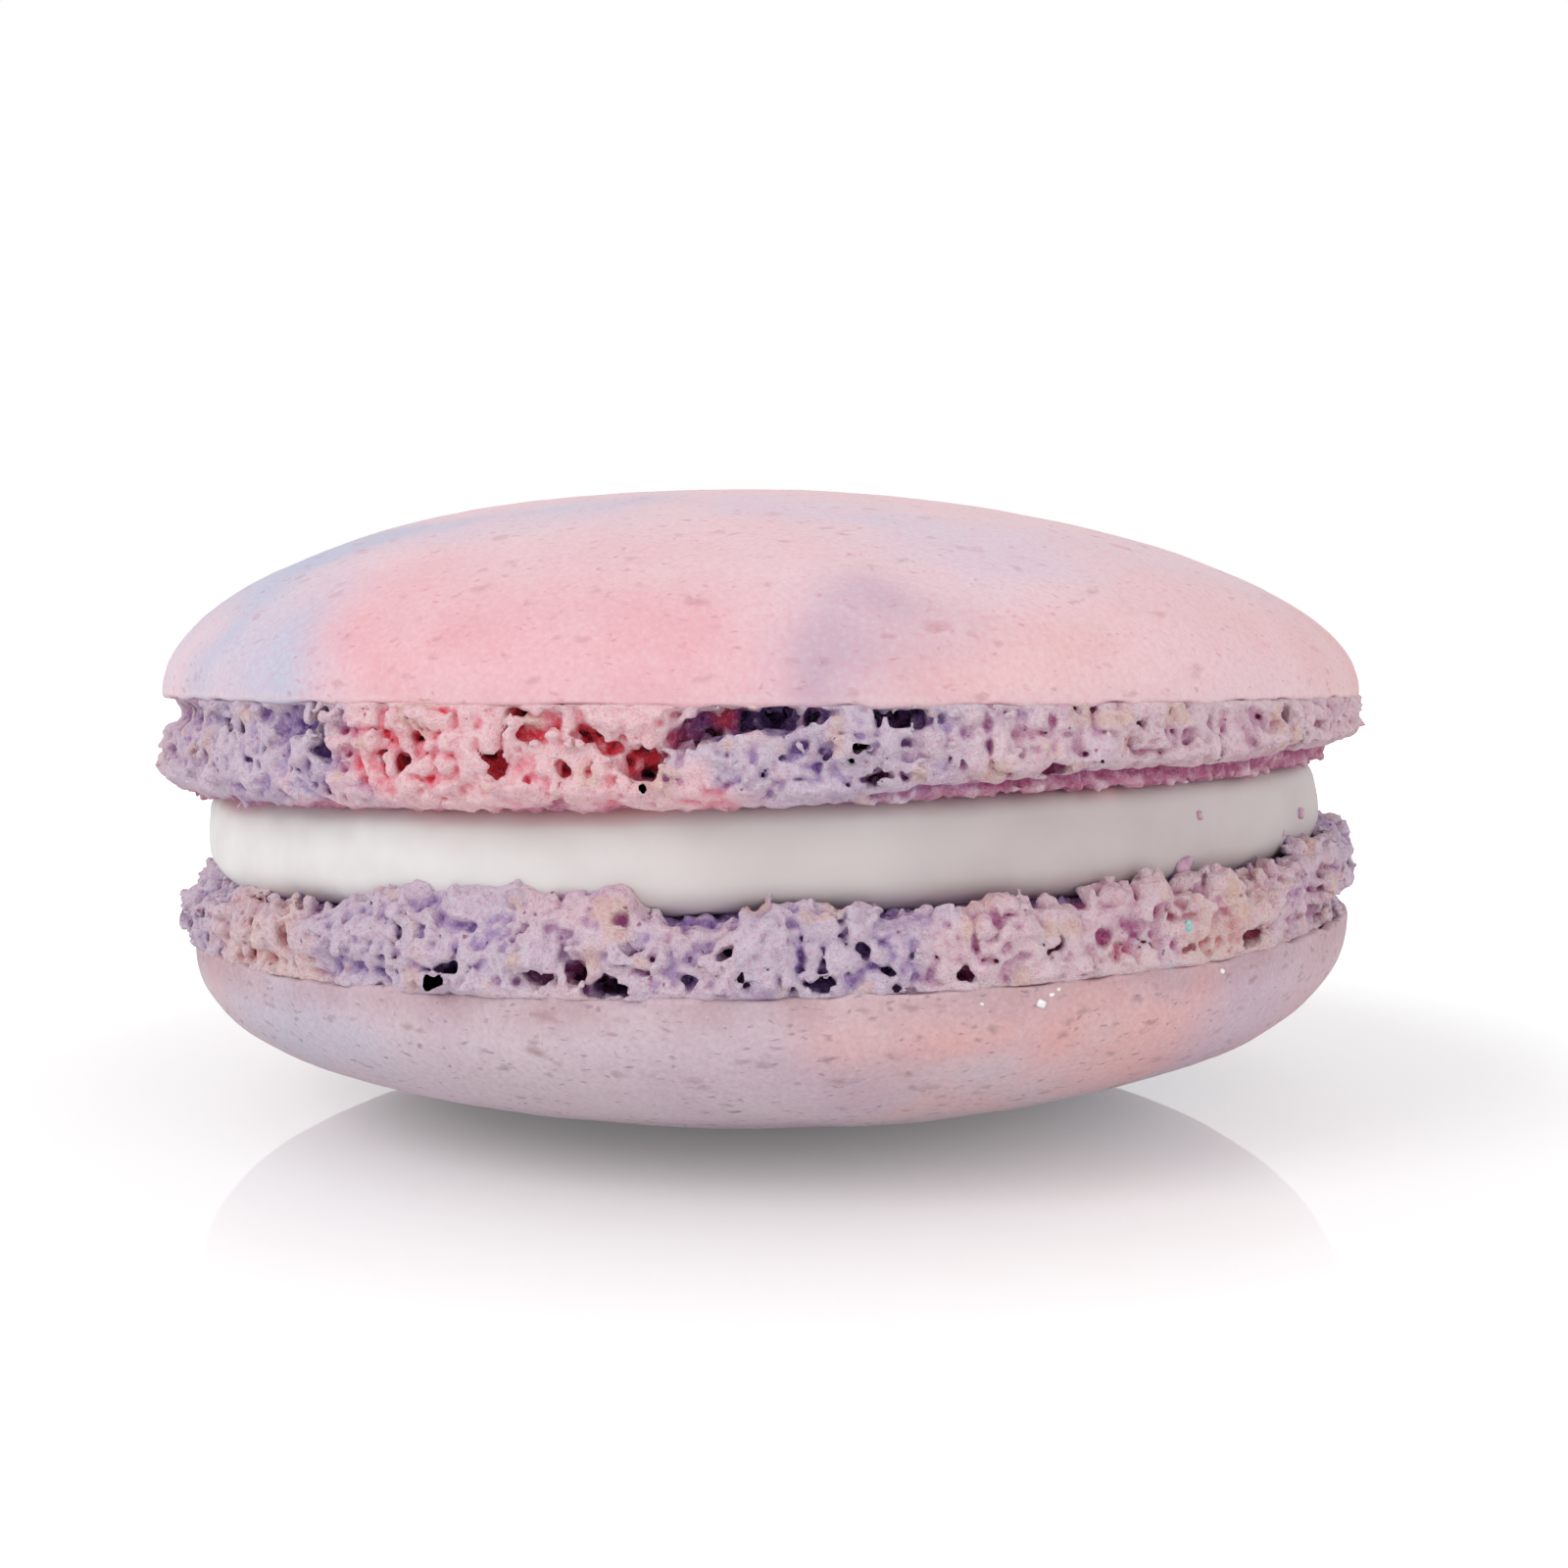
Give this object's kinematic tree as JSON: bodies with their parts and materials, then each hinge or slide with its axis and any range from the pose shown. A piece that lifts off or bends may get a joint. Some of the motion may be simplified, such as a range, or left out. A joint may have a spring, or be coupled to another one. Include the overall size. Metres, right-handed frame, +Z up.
{
  "type": "french macaron",
  "caption": "Round pastry of two smooth domed almond shells, each with a ruffled foot, and a layer of buttercream between them. It rests on the lower dome.",
  "frame": {"origin": "middle of the footprint, on the surface that the macaron stands on", "axes": "+Z is up through both domes, +X is to the right and +Y is to the back as the macaron is seen from its front"},
  "size_m": [0.046, 0.046, 0.0234],
  "materials": {
    "pink_shell": "baked almond meringue, pink marbled with a little lavender, satin",
    "lilac_shell": "baked almond meringue, lilac marbled with peach and blue grey, satin",
    "buttercream": "off-white buttercream, soft sheen"
  },
  "bodies": {
    "root": {"upper_shell": "pink_shell", "filling": "buttercream", "lower_shell": "lilac_shell"}
  },
  "joints": []
}
